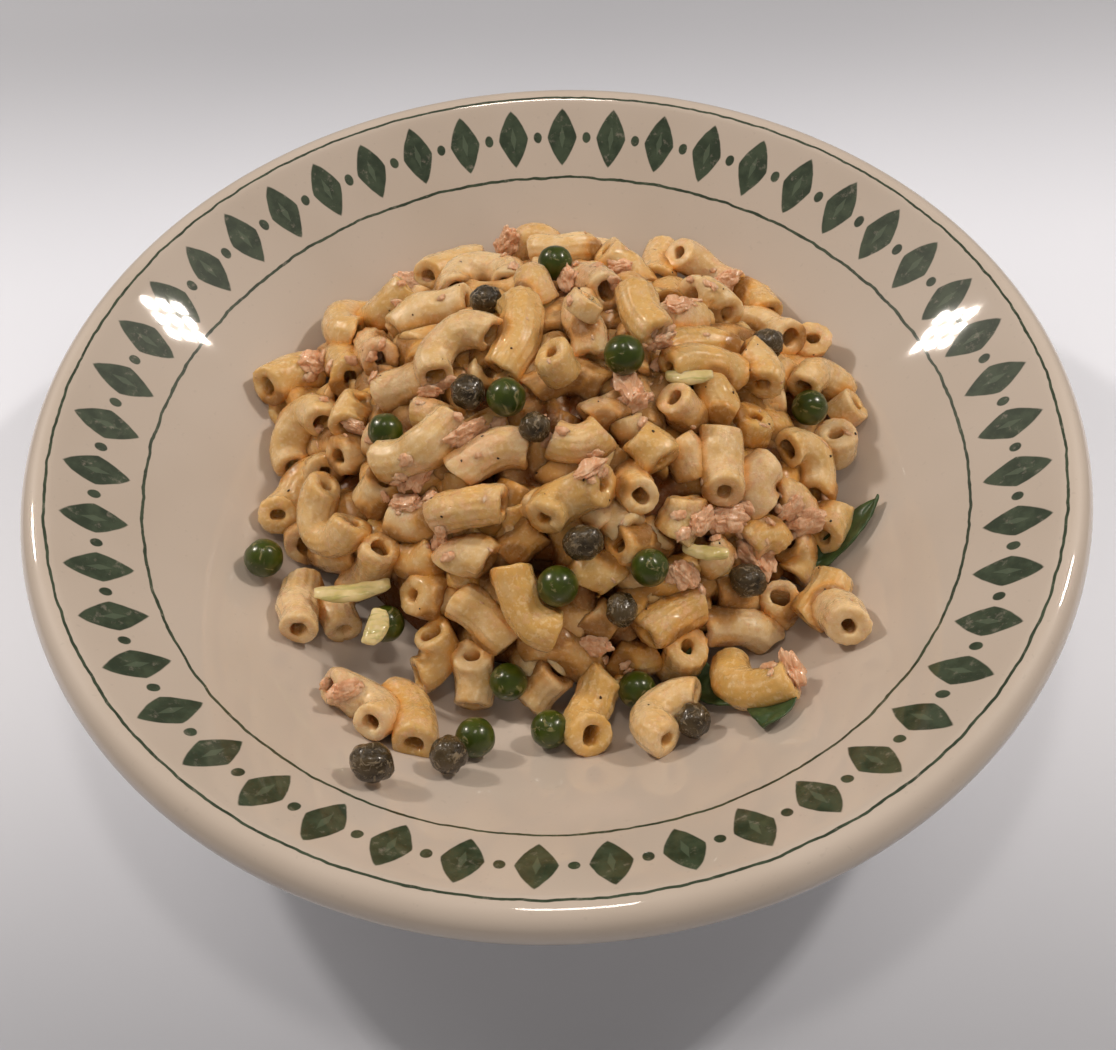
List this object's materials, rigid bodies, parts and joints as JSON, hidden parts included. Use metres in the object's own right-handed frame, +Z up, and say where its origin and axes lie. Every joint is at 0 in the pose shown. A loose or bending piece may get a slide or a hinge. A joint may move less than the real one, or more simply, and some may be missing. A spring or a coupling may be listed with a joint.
{
  "type": "pasta salad in a bowl",
  "caption": "Shallow round glazed bowl holding a heap of curved macaroni with flaked salmon, peas, capers, celery and leaves.",
  "frame": {"origin": "on the table, at the middle of the bowl's foot", "axes": "+Z up along the bowl's axis; the side shown in the picture faces -Y, with +X to its right"},
  "size_m": [0.216, 0.216, 0.0606],
  "materials": {
    "bowl": "glossy cream glaze with a green painted border",
    "macaroni": "moist ridged pasta in a thin creamy dressing",
    "pea": "shiny green skin",
    "caper": "dark olive brown, moist",
    "leaf": "dark green, satin",
    "celery": "pale green, moist and a little translucent"
  },
  "bodies": {
    "root": {"bowl": "bowl", "macaroni_heap": "macaroni", "pea_01": "pea", "pea_02": "pea", "pea_03": "pea", "pea_04": "pea", "pea_05": "pea", "pea_06": "pea", "pea_07": "pea", "pea_08": "pea", "pea_09": "pea", "pea_10": "pea", "pea_11": "pea", "pea_12": "pea", "pea_13": "pea", "caper_01": "caper", "caper_02": "caper", "caper_03": "caper", "caper_04": "caper", "caper_05": "caper", "caper_06": "caper", "caper_07": "caper", "caper_08": "caper", "caper_09": "caper", "caper_10": "caper", "leaf_01": "leaf", "leaf_02": "leaf", "leaf_03": "leaf", "celery_01": "celery", "celery_02": "celery", "celery_03": "celery", "celery_04": "celery"}
  },
  "joints": []
}
